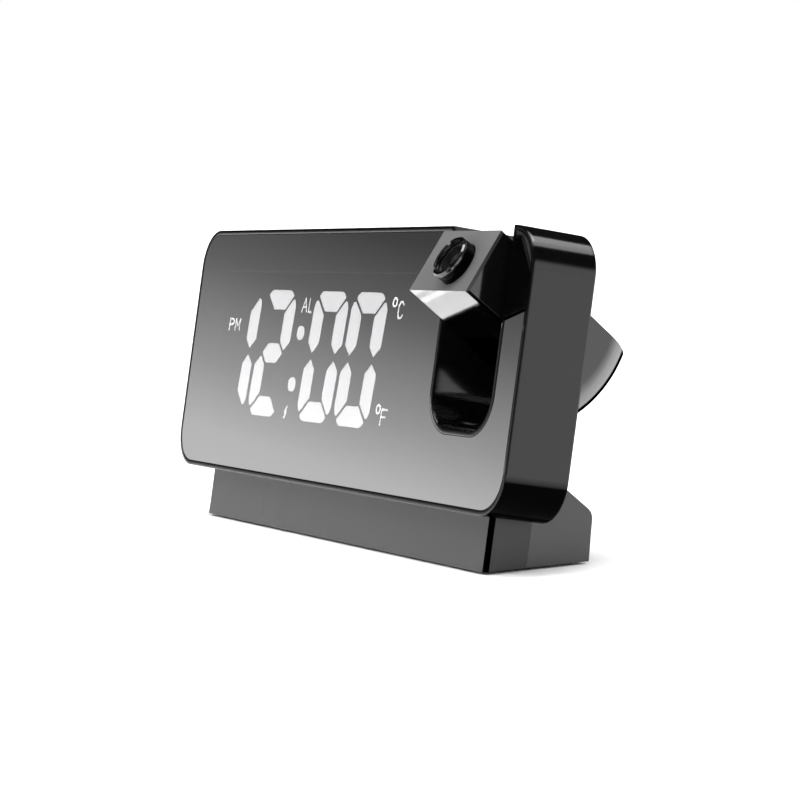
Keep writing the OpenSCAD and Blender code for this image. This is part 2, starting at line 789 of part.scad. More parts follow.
// The layer that the lens plate takes on the arm's end
module nose_layer() {
    across(arm_w + 2 * over) polygon([mitre_far, mitre_in,
        [2 * nose_back, face_z(2 * nose_back) - plate_t / cos(nose_rake)],
        [2 * nose_back, nose_len + nose_front], [mitre_far[0], nose_len + nose_front]]);
}

// Hollow of the arm, open to both plates
module arm_hollow() {
    intersection() {
        across(arm_w) polygon([[-2 * nose_front, nose_len + nose_front],
            [nose_back - arm_wall, nose_len + nose_front], [nose_back - arm_wall, nose_len],
            [heel_back - arm_wall, -heel_r], [arm_wall - heel_front, -heel_r],
            [arm_wall - nose_front, -plate_drop], [-2 * nose_front, -plate_drop]]);
        heel_lathe(arm_wall);
    }
}

module arm_shell() color("#0d0d0d") arm_frame() difference() {
    arm_form();
    front_layer();
    nose_layer();
    arm_hollow();
    rotate([0, 90, 0]) cylinder(h = arm_w + 2 * over, r = pivot_r + screw_gap, center = true);
}

module arm_mirror_plate() color("#d8d8d8") arm_frame() intersection() {
    arm_form();
    front_layer();
}

module arm_lens_plate() color("#848484") difference() {
    arm_frame() intersection() {
        arm_form();
        nose_layer();
    }
    optics_frame() cylinder(h = 4 * plate_t, r = ring_r + move_gap / 2, center = true);
}

// A pivot with a flange inside the arm and a groove for its clip
module arm_pivot(side, bore) {
    groove = arm_w / 2 + pivot_reach - pivot_end;
    arm_frame() rotate([0, side * 90, 0]) difference() {
        translate([0, 0, arm_w / 2 - arm_wall - pivot_flange_t]) {
            cylinder(h = pivot_flange_t, r = pivot_r + pivot_flange_w);
            cylinder(h = arm_wall + pivot_flange_t + pivot_reach, r = pivot_r);
        }
        translate([0, 0, groove - clip_t]) difference() {
            cylinder(h = clip_t, r = pivot_r + over);
            cylinder(h = clip_t, r = pivot_r - groove_depth);
        }
        if (bore > 0) cylinder(h = arm_w, r = bore);
    }
}

module arm_pivot_left() color("#161616") arm_pivot(-1, wire_r);

module arm_pivot_right() color("#161616") arm_pivot(1, 0);

module pivot_clips() color("#a0a0a0") for (side = [-1, 1]) arm_frame() rotate([0, side * 90, 0])
    translate([0, 0, arm_w / 2 + pivot_reach - pivot_end - clip_t + touch_gap / 4]) difference() {
        cylinder(h = clip_t - touch_gap / 2, r = pivot_r + clip_w);
        translate([0, 0, -over]) cylinder(h = clip_t + 2 * over, r = pivot_r - groove_depth + screw_gap);
        translate([-2 * pivot_r, -pivot_r / 2, -over]) cube([2 * pivot_r, pivot_r, clip_t + 2 * over]);
    }

// Fixed tube behind the lens plate: the focus ring's flange turns in its mouth
module lens_sleeve() color("#202020") optics_frame() difference() {
    union() {
        translate([0, 0, -plate_t - sleeve_flange[2] / 2]) cube(sleeve_flange, center = true);
        translate([0, 0, sleeve_end]) cylinder(h = sleeve_len - sleeve_flange[2] / 2, r = sleeve_r);
    }
    translate([0, 0, -plate_t - ring_flange_t - move_gap])
        cylinder(h = ring_flange_t + 2 * over, r = ring_flange_r + run_gap);
    translate([0, 0, sleeve_end - over]) cylinder(h = sleeve_len + 2 * over, r = sleeve_bore);
}

module projector_board() color("#1f4a2a") optics_frame()
    translate([0, 0, sleeve_end - board_t / 2]) cube([arm_board[0], arm_board[1], board_t], center = true);

module projector_led() color("#f0e8c0") optics_frame()
    translate([0, 0, sleeve_end + led_size[2] / 2]) cube(led_size, center = true);

module condenser_lens() color("#d8e4ea") optics_frame() translate([0, 0, condenser_z]) intersection() {
    cylinder(h = condenser_t, r = condenser_r);
    translate([0, 0, condenser_t - condenser_curve_r]) sphere(condenser_curve_r);
}

module image_lcd() color("#30343c") optics_frame()
    translate([-lcd_size[0] / 2, -lcd_size[1] / 2, lcd_z]) cube(lcd_size);

// Ring with four notches in its front edge, held by a flange behind the lens plate
module focus_ring() color("#0a0a0a") optics_frame() difference() {
    rotate_extrude() polygon([[ring_bore, flange_z - ring_flange_t],
        [ring_flange_r, flange_z - ring_flange_t], [ring_flange_r, flange_z],
        [ring_r, flange_z], [ring_r, ring_h - ring_edge],
        [ring_r - ring_edge, ring_h], [ring_bore, ring_h]]);
    for (a = [45 : 90 : 315]) rotate(a) translate([ring_bore - over, -ring_notch / 2, ring_h - ring_edge * 2])
        cube([ring_r, ring_notch, ring_h]);
}

// Sliding tube that carries the lens, moved along by the focus ring's thread
module lens_cell() color("#141414") optics_frame() translate([0, 0, cell_front - cell_len]) difference() {
    cylinder(h = cell_len, r = cell_r_out);
    translate([0, 0, -over]) cylinder(h = cell_len + 2 * over, r = lens_r + run_gap);
}

module projection_lens() color("#b8c8d0") optics_frame()
    translate([0, 0, cell_front - lens_back - lens_t / 2]) intersection() {
        cylinder(h = lens_t, r = lens_r, center = true);
        translate([0, 0, lens_curve_r - lens_t / 2]) sphere(lens_curve_r);
        translate([0, 0, lens_t / 2 - lens_curve_r]) sphere(lens_curve_r);
    }

front_housing();
mirror_panel();
back_cover();
display_block();
lit_segments();
dark_segments();
display_board();
main_board();
dome_switches();
button_mode();
button_up();
button_down();
button_alarm();
button_snooze();
button_projector();
buzzer();
temperature_sensor();
cover_screws();
body_screws();
base_front();
base_rear();
base_plate();
base_screws();
rubber_feet();
power_jack();
memory_cell();
cell_contacts();
battery_door();
friction_washers();
arm_shell();
arm_mirror_plate();
arm_lens_plate();
arm_pivot_left();
arm_pivot_right();
pivot_clips();
lens_sleeve();
projector_board();
projector_led();
condenser_lens();
image_lcd();
focus_ring();
lens_cell();
projection_lens();
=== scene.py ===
"""Looks of a mirror-faced projection alarm clock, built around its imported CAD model.

Blender's lengths are metres, and a size that is written in mm is turned to metres by MM. +X is
to the right as seen from the front, +Y to the back and +Z up, and the table is at Z = 0. The
sections follow the clock as it is put together.
"""
import math

import bpy
import numpy as np
from mathutils import Matrix, Vector


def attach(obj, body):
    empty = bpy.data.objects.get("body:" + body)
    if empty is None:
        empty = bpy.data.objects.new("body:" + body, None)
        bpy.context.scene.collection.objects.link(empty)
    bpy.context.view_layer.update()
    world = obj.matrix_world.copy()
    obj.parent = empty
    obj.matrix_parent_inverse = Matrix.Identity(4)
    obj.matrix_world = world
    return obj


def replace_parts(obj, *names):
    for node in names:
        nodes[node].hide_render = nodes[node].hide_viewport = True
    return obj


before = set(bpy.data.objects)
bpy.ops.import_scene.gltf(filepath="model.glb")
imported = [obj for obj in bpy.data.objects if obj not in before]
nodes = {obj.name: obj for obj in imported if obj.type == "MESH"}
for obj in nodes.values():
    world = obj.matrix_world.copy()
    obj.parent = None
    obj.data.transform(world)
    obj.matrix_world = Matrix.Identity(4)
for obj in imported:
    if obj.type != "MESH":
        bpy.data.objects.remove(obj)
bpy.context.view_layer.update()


# Camera
# The picture is taken from the right and a little above the clock, with a long lens from
# 0.7 m away. Its place and turn follow the straight edges of the body and the base.
MM = 0.001
camera_at = Vector((621.62, -307.81, 85.97)) * MM
camera_yaw, camera_pitch, camera_roll = (math.radians(a) for a in (63.46, -4.23, -2.4))
focal_share = 2729.06 / 800  # the focal length as a share of the picture's width

ahead = Vector((-math.sin(camera_yaw) * math.cos(camera_pitch),
                math.cos(camera_yaw) * math.cos(camera_pitch), math.sin(camera_pitch)))
level = ahead.cross(Vector((0, 0, 1))).normalized()
upright = level.cross(ahead)
camera_right = level * math.cos(camera_roll) + upright * math.sin(camera_roll)
camera_up = upright * math.cos(camera_roll) - level * math.sin(camera_roll)

camera = bpy.data.objects.new("camera", bpy.data.cameras.new("camera"))
camera.data.sensor_width = 36
camera.data.lens = focal_share * camera.data.sensor_width
camera.data.clip_start = 0.01
camera.matrix_world = (Matrix.Translation(camera_at)
                       @ Matrix((camera_right, camera_up, -ahead)).transposed().to_4x4())
bpy.context.scene.collection.objects.link(camera)
bpy.context.scene.camera = camera


# Studio
# A wide floor of white paper under soft suns, before a white background. The room that the
# clock reflects is dark, with a pale wall in front, which the mirror shows as a gradient from
# pale below to dark above, and a lit wall behind on the right, for the band inside the slot.
def linear(code):
    """An sRGB hex colour as linear red, green and blue, with an alpha of 1."""
    c = np.array([int(code[i:i + 2], 16) for i in (1, 3, 5)]) / 255
    c = np.where(c <= 0.04045, c / 12.92, ((c + 0.055) / 1.055) ** 2.4)
    return (*c.tolist(), 1.0)


def add(tree, kind, settings=None, inputs=None, links=None):
    """Adds a node, sets its properties and sockets, and links sockets from (node, output) pairs."""
    new = tree.nodes.new(kind)
    for key, value in (settings or {}).items():
        setattr(new, key, value)
    for key, value in (inputs or {}).items():
        new.inputs[key].default_value = value
    for key, (source, output) in (links or {}).items():
        tree.links.new(source.outputs[output], new.inputs[key])
    return new


def material(name):
    """An empty material and its node tree."""
    made = bpy.data.materials.new(name)
    made.use_nodes = True
    made.node_tree.nodes.clear()
    return made, made.node_tree


def stops(ramp, *pairs):
    """Sets a colour ramp's stops from (place, hex colour) pairs."""
    elements = ramp.color_ramp.elements
    while len(elements) < len(pairs):
        elements.new(1.0)
    for element, (place, code) in zip(elements, pairs):
        element.position = place
        element.color = linear(code)


studio = bpy.data.worlds.new("studio")
bpy.context.scene.world = studio
studio.use_nodes = True
tree = studio.node_tree
tree.nodes.clear()
way = add(tree, "ShaderNodeSeparateXYZ", links={
    "Vector": (add(tree, "ShaderNodeTexCoord"), "Generated")})
# X, Y and Z of a direction go from -1 to 1, and the wall's gradient ends at this Z
wall_top = 0.25
room_dark, white = linear("#202020"), linear("#ffffff")
rise = add(tree, "ShaderNodeMapRange", {"clamp": True}, {"From Max": wall_top}, {"Value": (way, "Z")})
wall = add(tree, "ShaderNodeValToRGB", links={"Fac": (rise, "Result")})
stops(wall, (0.0, "#f4f4f4"), (0.28, "#e4e4e4"), (0.378, "#bababa"), (0.52, "#797979"),
      (0.63, "#515151"), (1.0, "#202020"))
# How each side of the room fades in, from 0 at one value of X, Y or Z to 1 at another
sides = {}
for side, axis, start, full in (
        ("front", "Y", 0.05, -0.25), ("left", "X", 0.1, -0.4), ("right", "X", 0.1, 0.35),
        ("back", "Y", 0.0, 0.2), ("low", "Z", 0.38, 0.2)):
    sides[side] = add(tree, "ShaderNodeMapRange", {
        "clamp": True, "interpolation_type": "SMOOTHSTEP"},
        {"From Min": start, "From Max": full}, {"Value": (way, axis)})
front_left = add(tree, "ShaderNodeMath", {"operation": "MULTIPLY"}, links={
    0: (sides["front"], "Result"), 1: (sides["left"], "Result")})
room = add(tree, "ShaderNodeMix", {"data_type": "RGBA"}, {"A": room_dark},
           {"Factor": (front_left, "Value"), "B": (wall, "Color")})
below = add(tree, "ShaderNodeMath", {"operation": "LESS_THAN"}, {1: 0.0}, {0: (way, "Z")})
around = add(tree, "ShaderNodeMix", {"data_type": "RGBA"}, {"B": white},
             {"Factor": (below, "Value"), "A": (room, "Result")})
unlit = add(tree, "ShaderNodeBackground", links={"Color": (around, "Result")})
lit = add(tree, "ShaderNodeBackground", inputs={"Color": white, "Strength": 2.0})
back_right = add(tree, "ShaderNodeMath", {"operation": "MULTIPLY"}, links={
    0: (sides["right"], "Result"), 1: (sides["back"], "Result")})
lit_part = add(tree, "ShaderNodeMath", {"operation": "MULTIPLY"}, links={
    0: (back_right, "Value"), 1: (sides["low"], "Result")})
reflected = add(tree, "ShaderNodeMixShader", links={
    "Fac": (lit_part, "Value"), 1: (unlit, "Background"), 2: (lit, "Background")})
seen = add(tree, "ShaderNodeBackground", inputs={"Color": white})
both = add(tree, "ShaderNodeMixShader", links={
    "Fac": (add(tree, "ShaderNodeLightPath"), "Is Camera Ray"), 1: (reflected, "Shader"),
    2: (seen, "Background")})
add(tree, "ShaderNodeOutputWorld", links={"Surface": (both, "Shader")})

floor_size = 30
bpy.ops.mesh.primitive_plane_add(size=floor_size)
floor = bpy.context.object
floor.name = "floor"
# Matte paper: an even pale floor with no shine
paper, tree = material("matte_white_paper")
matte = add(tree, "ShaderNodeBsdfPrincipled", inputs={
    "Base Color": linear("#f7f7f7"), "Roughness": 0.95, "Specular IOR Level": 0.1})
add(tree, "ShaderNodeOutputMaterial", links={"Surface": (matte, "BSDF")})
floor.data.materials.append(paper)

# Name, direction towards it, width in degrees, strength and what it does: "lit" only lights
# rough surfaces, "shown" only shows in reflections and "both" does both
for name, towards, width, strength, acts in (
        ("sky_fill", (0, 0, 1), 178, 3.4, "lit"),
        ("overhead_sun", (0, -0.08, 1), 40, 2.6, "both"),
        ("wide_softbox", (0.07, 0.46, 0.88), 40, 1.5, "shown"),
        ("softbox", (0.07, 0.46, 0.88), 24, 1.5, "shown"),
        ("front_sun", (-0.35, -0.6, 0.72), 30, 1.5, "both")):
    lamp = bpy.data.objects.new(name, bpy.data.lights.new(name, "SUN"))
    lamp.data.angle = math.radians(width)
    lamp.data.energy = strength
    lamp.visible_glossy = acts != "lit"
    lamp.visible_diffuse = acts != "shown"
    lamp.rotation_euler = Vector(towards).to_track_quat("Z", "Y").to_euler()
    bpy.context.scene.collection.objects.link(lamp)
bpy.context.scene.view_settings.view_transform = "Standard"


def dress(finish, *names):
    """Gives a material to CAD nodes."""
    for name in names:
        nodes[name].data.materials.clear()
        nodes[name].data.materials.append(finish)


def curve(tree, source, pairs):
    """A value that follows straight lines through (place, value) pairs."""
    first, span = pairs[0][0], pairs[-1][0] - pairs[0][0]
    most = max(value for _, value in pairs)
    along = add(tree, "ShaderNodeMapRange", inputs={"From Min": first, "From Max": first + span},
                links={"Value": source})
    line = add(tree, "ShaderNodeValToRGB", links={"Fac": (along, "Result")})
    elements = line.color_ramp.elements
    while len(elements) < len(pairs):
        elements.new(1.0)
    for element, (place, value) in zip(elements, pairs):
        element.position = (place - first) / span
        element.color = (*[value / most] * 3, 1.0)
    return add(tree, "ShaderNodeMath", {"operation": "MULTIPLY"}, {1: most}, {0: (line, "Color")})


# A noise mostly stays between these values
noise_low, noise_high = 0.3, 0.7


def moulded(name, shade, rough, grain, depth, edge=0.0, shine=0.5, spread=0.04, by=None, pairs=()):
    """Moulded plastic: a base shade that drifts slowly, over 30 mm, a grain of the given size
    and depth in mm as bump, drawn no finer than shows in the render, and edges rounded in the
    shading by a radius in mm. The shine can follow (value, shine) pairs: by the angle of view
    for "View", or by how far the normal or the place lies along a direction for ("Normal",
    direction) or ("Object", direction)."""
    made, tree = material(name)
    at = add(tree, "ShaderNodeTexCoord")
    drift = add(tree, "ShaderNodeTexNoise", inputs={"Scale": 1 / (30 * MM), "Detail": 2.0},
                links={"Vector": (at, "Object")})
    tone = add(tree, "ShaderNodeValToRGB", links={"Fac": (drift, "Fac")})
    tone.color_ramp.interpolation = "EASE"
    base = np.array(linear(shade)[:3])
    darkest, lightest = tone.color_ramp.elements
    for element, place, share in ((darkest, 0.35, 1 - 2 * spread), (lightest, 0.65, 1 + 2 * spread)):
        element.position = place
        element.color = (*(base * share).tolist(), 1.0)
    polish = add(tree, "ShaderNodeMapRange", {"interpolation_type": "SMOOTHSTEP"}, {
        "From Min": noise_low, "From Max": noise_high, "To Min": rough * 0.9,
        "To Max": rough * 1.1}, {"Value": (drift, "Fac")})
    texture = add(tree, "ShaderNodeTexNoise", inputs={"Scale": 1 / (grain * MM), "Detail": 2.0},
                  links={"Vector": (at, "Object")})
    bump = add(tree, "ShaderNodeBump", inputs={"Strength": 1.0, "Distance": depth * MM},
               links={"Height": (texture, "Fac")})
    if edge:
        soft = add(tree, "ShaderNodeBevel", {"samples": 6}, {"Radius": edge * MM})
        tree.links.new(soft.outputs["Normal"], bump.inputs["Normal"])
    plastic = add(tree, "ShaderNodeBsdfPrincipled", inputs={"Specular IOR Level": shine}, links={
        "Base Color": (tone, "Color"), "Roughness": (polish, "Result"), "Normal": (bump, "Normal")})
    if by == "View":
        source = add(tree, "ShaderNodeLayerWeight", inputs={"Blend": 0.5}), "Facing"
    elif by:
        output, way = by
        source = add(tree, "ShaderNodeVectorMath", {"operation": "DOT_PRODUCT"}, {1: way},
                     {0: (at, output)}), "Value"
    if by:
        level = curve(tree, source, pairs)
        tree.links.new(level.outputs["Value"], plastic.inputs["Specular IOR Level"])
        # Painted shade: the base fades to black with the shine, from a shine of 0.1 down
        share = add(tree, "ShaderNodeMath", {"operation": "MULTIPLY", "use_clamp": True},
                    {1: 1 / 0.1}, {0: (level, "Value")})
        painted_shade_tone = add(tree, "ShaderNodeMix", {"data_type": "RGBA"}, {"A": linear("#000000")},
                    {"Factor": (share, "Value"), "B": (tone, "Color")})
        tree.links.new(painted_shade_tone.outputs["Result"], plastic.inputs["Base Color"])
    add(tree, "ShaderNodeOutputMaterial", links={"Surface": (plastic, "BSDF")})
    return made


# Piano black: sharp reflections with a faint orange peel, 5 mm from crest to crest. Faces that look
# down have painted shade: almost no shine and a base that fades to black, for the dark gap over the
# table
housing_black = moulded("piano_black_housing", "#060606", 0.1, grain=5, depth=0.004, edge=0.8,
                        by=("Normal", (0, -1.5, 1)), pairs=((-0.12, 0.01), (-0.04, 0.37)))
dress(housing_black, "front_housing")


# Display
# A white-lit segment display behind the mirror: a dark moulded block with a pocket for each
# segment, milky diffusers in the pockets and a printed board behind. Unlit segments stay dark.
def glowing(name, shade, power):
    """Milky acrylic lit from behind: even light with a faint fall-off in blotches 3 mm wide."""
    made, tree = material(name)
    at = add(tree, "ShaderNodeTexCoord")
    haze = add(tree, "ShaderNodeTexNoise", inputs={"Scale": 1 / (3 * MM), "Detail": 1.0},
               links={"Vector": (at, "Object")})
    level = add(tree, "ShaderNodeMapRange", inputs={
        "From Min": noise_low, "From Max": noise_high, "To Min": power * 0.97,
        "To Max": power * 1.03}, links={"Value": (haze, "Fac")})
    milky = add(tree, "ShaderNodeBsdfPrincipled", inputs={
        "Base Color": linear("#e8e8e8"), "Roughness": 0.45, "Emission Color": linear(shade)},
        links={"Emission Strength": (level, "Result")})
    add(tree, "ShaderNodeOutputMaterial", links={"Surface": (milky, "BSDF")})
    return made


# The block's matte black swallows stray light, and smoked acrylic hides a segment that is off
block_black = moulded("matte_black_reflector", "#060606", 0.6, grain=0.8, depth=0.02, shine=0.2)
lit_acrylic = glowing("lit_milky_acrylic", "#fdfdff", 4.0)
smoked_acrylic = moulded("unlit_smoked_acrylic", "#0c0c0c", 0.5, grain=0.8, depth=0.01)
dress(block_black, "display_block")
dress(lit_acrylic, "lit_segments")
dress(smoked_acrylic, "dark_segments")


# Display marks
# Small light-up marks just behind the mirror: PM, AL, degrees C and F and a spark. Each stroke
# is a flat bar with round ends, 0.04 mm thick, cut from the same milky acrylic as the segments.
lean = math.radians(11.2)  # how far the body leans back
lower_edge = np.array((0, -21.4, 14.2))  # the middle of the body's lower front edge
slant = math.tan(math.radians(5.5))  # how far the digits and marks lean to the right


def on_body(x, n, u):
    """Points in metres from X, depth behind the mirror's face and height along the lean, in mm:
    both are turned back by the lean and then moved up to the body's lower front edge."""
    y = n * math.cos(lean) + u * math.sin(lean)
    z = u * math.cos(lean) - n * math.sin(lean)
    return (np.stack(np.broadcast_arrays(x, y, z), -1) + lower_edge) * MM


def piece(name, points, faces, finish):
    """A new flat-shaded object from (..., 3) points and faces that index them."""
    mesh = bpy.data.meshes.new(name)
    mesh.from_pydata(points.reshape(-1, 3).tolist(), [], faces)
    mesh.materials.append(finish)
    made = bpy.data.objects.new(name, mesh)
    bpy.context.scene.collection.objects.link(made)
    return made


def bars(strokes, radius, front, back, sides=10):
    """Flat bars with round ends between two depths, for rows of X, U to X, U in mm. Each outline
    is two half circles, end + radius * (cos a, sin a), turned along the stroke."""
    start, stop = strokes[:, None, :2], strokes[:, None, 2:]
    turn = np.arctan2(*(stop - start)[:, 0, ::-1].T)[:, None]
    a = turn + np.linspace(-0.5, 0.5, sides) * math.pi
    tip = radius * np.stack((np.cos(a), np.sin(a)), -1)
    outline = np.concatenate((stop + tip, start - tip), 1)
    near, far = (on_body(outline[..., 0], n, outline[..., 1]) for n in (front, back))
    points = np.stack((near, far), 1)
    count, around = len(strokes), 2 * sides
    first = np.arange(count)[:, None] * 2 * around + np.arange(around)
    after = np.roll(first, -1, 1)
    walls = np.stack((first, first + around, after + around, after), -1).reshape(-1, 4)
    return points, first.tolist() + (first + around)[:, ::-1].tolist() + walls.tolist()


def ring_strokes(x, u, radius, count=14):
    """Strokes from each to the next of the points centre + radius * (cos a, sin a)."""
    a = np.arange(count + 1) * 2 * math.pi / count
    at = np.stack((x + radius * np.cos(a), u + radius * np.sin(a)), -1)
    return np.concatenate((at[:-1], at[1:]), 1)


# The strokes of each mark, as shares of its width and height: X, U to X, U
letters = {
    "P": ((0, 0, 0, 1), (0, 1, 0.7, 1), (0.7, 1, 1, 0.86), (1, 0.86, 1, 0.62),
          (1, 0.62, 0.7, 0.48), (0.7, 0.48, 0, 0.48)),
    "M": ((0, 0, 0, 1), (0, 1, 0.5, 0.4), (0.5, 0.4, 1, 1), (1, 1, 1, 0)),
    "A": ((0, 0, 0.5, 1), (0.5, 1, 1, 0), (0.2, 0.36, 0.8, 0.36)),
    "L": ((0, 1, 0, 0), (0, 0, 1, 0)),
    "C": ((1, 0.84, 0.75, 1), (0.75, 1, 0.25, 1), (0.25, 1, 0, 0.8), (0, 0.8, 0, 0.2),
          (0, 0.2, 0.25, 0), (0.25, 0, 0.75, 0), (0.75, 0, 1, 0.16)),
    "F": ((0, 0, 0, 1), (0, 1, 1, 1), (0, 0.52, 0.8, 0.52)),
    "Z": ((0, 1, 1, 1), (1, 1, 0, 0), (0, 0, 1, 0)), "-": ((0, 0.5, 1, 0.5),),
    "+": ((0, 0.5, 1, 0.5), (0.5, 0.1, 0.5, 0.9)),
    "*": ((0.8, 1, 0.1, 0.45), (0.1, 0.45, 0.9, 0.55), (0.9, 0.55, 0.2, 0))}
# Each mark with the X and U of its lower left corner, its width and its height ("*": the spark)
placed = [("P", -71.2, 38.6, 2.6, 3.0), ("M", -67.2, 38.6, 2.9, 3.0),
          ("A", -25.5, 44.4, 2.9, 3.4), ("L", -21.4, 44.4, 1.8, 3.4),
          ("C", 30.4, 43.9, 2.4, 3.9), ("F", 31.0, 17.5, 2.9, 3.8), ("*", -25.6, 16.3, 1.7, 3.0)]
strokes = [np.array(letters[key]) * (w, h, w, h) + (x, u, x, u) for key, x, u, w, h in placed]
strokes += [ring_strokes(x, u, radius=1.05) for x, u in ((27.9, 47.7), (28.9, 21.3))]
strokes = np.concatenate(strokes)
# The marks lie behind a thick sheet, so they stand 3.05 mm to the left of where they are seen
middle, behind_sheet = 33, -3.05
strokes[:, ::2] += slant * (strokes[:, 1::2] - middle) + behind_sheet
marks = piece("display_marks", *bars(strokes, radius=0.26, front=1.53, back=1.57), lit_acrylic)
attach(marks, "clock")


# Mirror panel
# A 1.5 mm smoked acrylic sheet with a half-mirror film on its front, glued on a ledge in the
# housing's rim. It passes about a tenth of the light, so only the lit segments show through.
half_mirror, tree = material("half_mirror_smoked_acrylic")
at = add(tree, "ShaderNodeTexCoord")
# Acrylic sheet is never quite flat: waves 60 mm long and a few microns high bend what it shows
waves = add(tree, "ShaderNodeTexNoise", inputs={"Scale": 1 / (60 * MM), "Detail": 1.0},
            links={"Vector": (at, "Object")})
ripple = add(tree, "ShaderNodeBump", inputs={"Strength": 1.0, "Distance": 0.01 * MM},
             links={"Height": (waves, "Fac")})
film_polish = add(tree, "ShaderNodeMapRange", inputs={
    "From Min": noise_low, "From Max": noise_high, "To Min": 0.035, "To Max": 0.055},
    links={"Value": (waves, "Fac")})
film = add(tree, "ShaderNodeBsdfPrincipled", inputs={
    "Base Color": linear("#dedede"), "Metallic": 1.0}, links={
    "Roughness": (film_polish, "Result"), "Normal": (ripple, "Normal")})
smoke = add(tree, "ShaderNodeBsdfTransparent", inputs={"Color": linear("#c0c0c0")})
film_share = 0.8
coated = add(tree, "ShaderNodeMixShader", inputs={"Fac": film_share},
             links={1: (smoke, "BSDF"), 2: (film, "BSDF")})
bare = add(tree, "ShaderNodeBsdfTransparent", inputs={"Color": linear("#ffffff")})
facing = add(tree, "ShaderNodeNewGeometry")
panel_shader = add(tree, "ShaderNodeMixShader", links={
    "Fac": (facing, "Backfacing"), 1: (coated, "Shader"), 2: (bare, "BSDF")})
add(tree, "ShaderNodeOutputMaterial", links={"Surface": (panel_shader, "Shader")})
dress(half_mirror, "mirror_panel")


# Boards, switches, sounder and sensor
# Glass-fibre boards with a green solder mask, or a black one behind the display, tin-plated
# domes, washers and clips, a black piezo sounder and a small sensor. They sit inside the closed
# body and arm.
solder_mask = moulded("green_solder_mask_board", "#1f5a33", 0.35, grain=1.2, depth=0.02)
black_mask = moulded("black_solder_mask_board", "#080a09", 0.45, grain=1.2, depth=0.02, shine=0.2)
tinned_steel = moulded("tinned_spring_steel", "#b9b9b4", 0.3, grain=0.5, depth=0.01)
sounder_black = moulded("black_pbt_sounder", "#141414", 0.5, grain=0.5, depth=0.02)
dress(solder_mask, "main_board", "projector_board")
dress(black_mask, "display_board")
dress(tinned_steel, "dome_switches", "friction_washers", "pivot_clips")
dress(sounder_black, "buzzer", "temperature_sensor")


# Back cover and buttons
# Black ABS from a spark-eroded mould, which gives it a fine matte grain. The six caps are
# smoother and darker, with a broken edge.
grained_black = moulded("spark_grained_black_abs", "#101010", 0.42, grain=0.45, depth=0.03, edge=0.25)
button_black = moulded("satin_black_button", "#0c0c0c", 0.28, grain=0.8, depth=0.006, edge=0.2)
dress(grained_black, "back_cover")
dress(button_black, "button_mode", "button_up", "button_down", "button_alarm", "button_snooze",
      "button_projector")

# Flat white pad-printed marks over the buttons: M for mode, + and - for up and down, A for
# alarm, Z for snooze and P for projector. They are mirrored in X, to be read from behind.
white_ink = moulded("white_pad_print", "#d8d8d8", 0.55, grain=0.3, depth=0.005)
width, height, low_edge, first_button, button_step = 1.5, 1.9, 53.9, -47.4, 11.5
prints = [np.array(letters[key]) * (-width, height, -width, height) + (x, low_edge, x, low_edge)
          for key, x in zip("M+-AZP", np.arange(6) * button_step + first_button)]
printed = piece("button_marks", *bars(np.concatenate(prints), radius=0.13, front=16.2, back=16.22),
                white_ink)
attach(printed, "clock")


# Screws
# Zinc-plated steel, with a cross recess stamped 0.65 mm deep into a flat head 4.4 mm wide.
# Each is one closed turned surface, and they replace the plain ones of the CAD model.
zinc_steel, tree = material("zinc_plated_steel")
at = add(tree, "ShaderNodeTexCoord")
# The plating has a soft grey shine that changes in spots 1.5 mm wide
spangle = add(tree, "ShaderNodeTexNoise", inputs={"Scale": 1 / (1.5 * MM), "Detail": 3.0},
              links={"Vector": (at, "Object")})
sheen = add(tree, "ShaderNodeMapRange", inputs={
    "From Min": noise_low, "From Max": noise_high, "To Min": 0.24, "To Max": 0.36},
    links={"Value": (spangle, "Fac")})
plating = add(tree, "ShaderNodeBsdfPrincipled", inputs={
    "Base Color": linear("#8e9091"), "Metallic": 1.0}, links={"Roughness": (sheen, "Result")})
add(tree, "ShaderNodeOutputMaterial", links={"Surface": (plating, "BSDF")})
dress(zinc_steel, "cover_screws", "body_screws", "base_screws")


def closed_rings(rings, start, end):
    """Closed surfaces through rings of points, (surfaces, rings, around, 3), each with a point
    of its own at the start and the end, (surfaces, 3)."""
    surfaces, count, around = rings.shape[:3]
    here, after = np.arange(around), np.roll(np.arange(around), -1)
    row = np.arange(count - 1)[:, None] * around
    sides = np.stack((row + here, row + around + here, row + around + after, row + after), -1)
    pole, last = np.full(around, count * around), (count - 1) * around
    caps = np.concatenate((np.stack((pole, here, after), -1),
                           np.stack((pole + 1, last + after, last + here), -1)))
    points = np.concatenate((rings.reshape(surfaces, -1, 3), start[:, None], end[:, None]), 1)
    offset = np.arange(surfaces)[:, None, None] * points.shape[1]
    return points, [*(sides.reshape(-1, 4) + offset).reshape(-1, 4).tolist(),
                    *(caps + offset).reshape(-1, 3).tolist()]


